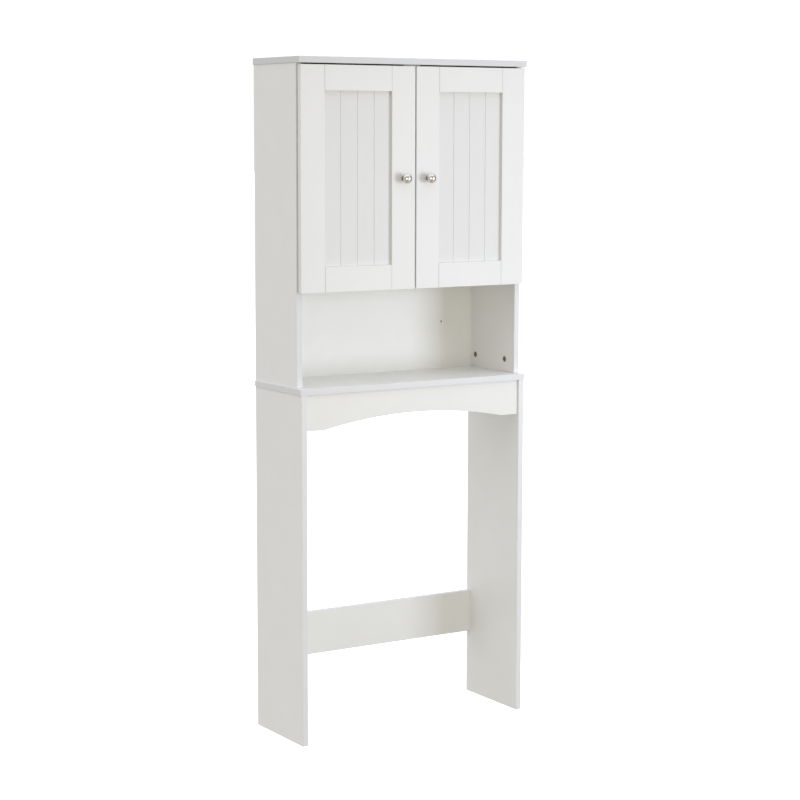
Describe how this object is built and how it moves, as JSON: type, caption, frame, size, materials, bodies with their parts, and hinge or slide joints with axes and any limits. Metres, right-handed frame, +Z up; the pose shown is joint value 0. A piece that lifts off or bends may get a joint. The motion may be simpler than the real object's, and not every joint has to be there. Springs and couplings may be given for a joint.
{
  "type": "over the toilet storage rack",
  "caption": "Tall rack that stands astride a toilet: side legs with an arched apron and a low rear bar, an open shelf, and a cupboard with hinged plank-panelled doors.",
  "frame": {"origin": "bottom centre of the bounding box, on the floor, midway between the legs and midway between the knob tips and the wall behind the rack", "axes": "+Z up, the doors face -Y, +X to the right for a person facing the doors"},
  "size_m": [0.644, 0.248, 1.64],
  "materials": {
    "white_board": "white melamine-faced particle board, satin",
    "door_front": "white lacquered fibreboard, satin",
    "back_board": "white faced hardboard, satin",
    "knob_metal": "polished nickel",
    "zinc_casting": "raw zinc casting",
    "fastener_steel": "zinc plated steel",
    "plated_steel": "nickel plated sheet steel",
    "beech": "raw beech",
    "magnet": "ferrite magnet",
    "catch_plastic": "moulded white plastic",
    "bumper_rubber": "clear silicone"
  },
  "bodies": {
    "cabinet": {"adjustable_shelf": "white_board", "arched_apron": "white_board", "back_panel": "back_board", "cabinet_floor": "white_board", "catch_housing": "catch_plastic", "catch_magnets": "magnet", "catch_screws": "fastener_steel", "left_hinge_arms": "plated_steel", "left_hinge_plate_screws": "fastener_steel", "left_hinge_plates": "plated_steel", "left_leg_panel": "white_board", "left_side_panel": "white_board", "lower_cam_bolts": "fastener_steel", "lower_cam_locks": "zinc_casting", "lower_dowels": "beech", "middle_shelf": "white_board", "rear_crossbar": "white_board", "right_hinge_arms": "plated_steel", "right_hinge_plate_screws": "fastener_steel", "right_hinge_plates": "plated_steel", "right_leg_panel": "white_board", "right_side_panel": "white_board", "shelf_pins": "fastener_steel", "top_panel": "white_board", "upper_cam_bolts": "fastener_steel", "upper_cam_locks": "zinc_casting", "upper_dowels": "beech"},
    "left_door": {"left_hinge_stile": "door_front", "left_meeting_stile": "door_front", "left_top_rail": "door_front", "left_bottom_rail": "door_front", "left_plank_panel": "door_front", "left_knob": "knob_metal", "left_knob_screw": "fastener_steel", "left_hinge_cups": "plated_steel", "left_hinge_pins": "fastener_steel", "left_cup_screws": "fastener_steel", "left_strike_plate": "plated_steel", "left_strike_screw": "fastener_steel", "left_bumper": "bumper_rubber"},
    "right_door": {"right_hinge_stile": "door_front", "right_meeting_stile": "door_front", "right_top_rail": "door_front", "right_bottom_rail": "door_front", "right_plank_panel": "door_front", "right_knob": "knob_metal", "right_knob_screw": "fastener_steel", "right_hinge_cups": "plated_steel", "right_hinge_pins": "fastener_steel", "right_cup_screws": "fastener_steel", "right_strike_plate": "plated_steel", "right_strike_screw": "fastener_steel", "right_bumper": "bumper_rubber"}
  },
  "joints": [
    {"name": "left_door_hinge", "type": "hinge", "parent": "cabinet", "child": "left_door", "pos_m": [-0.3098, -0.0936, 1.35575], "axis": [0, 0, -1], "range_deg": [0, 100]},
    {"name": "right_door_hinge", "type": "hinge", "parent": "cabinet", "child": "right_door", "pos_m": [0.3098, -0.0936, 1.35575], "axis": [0, 0, 1], "range_deg": [0, 100]}
  ]
}
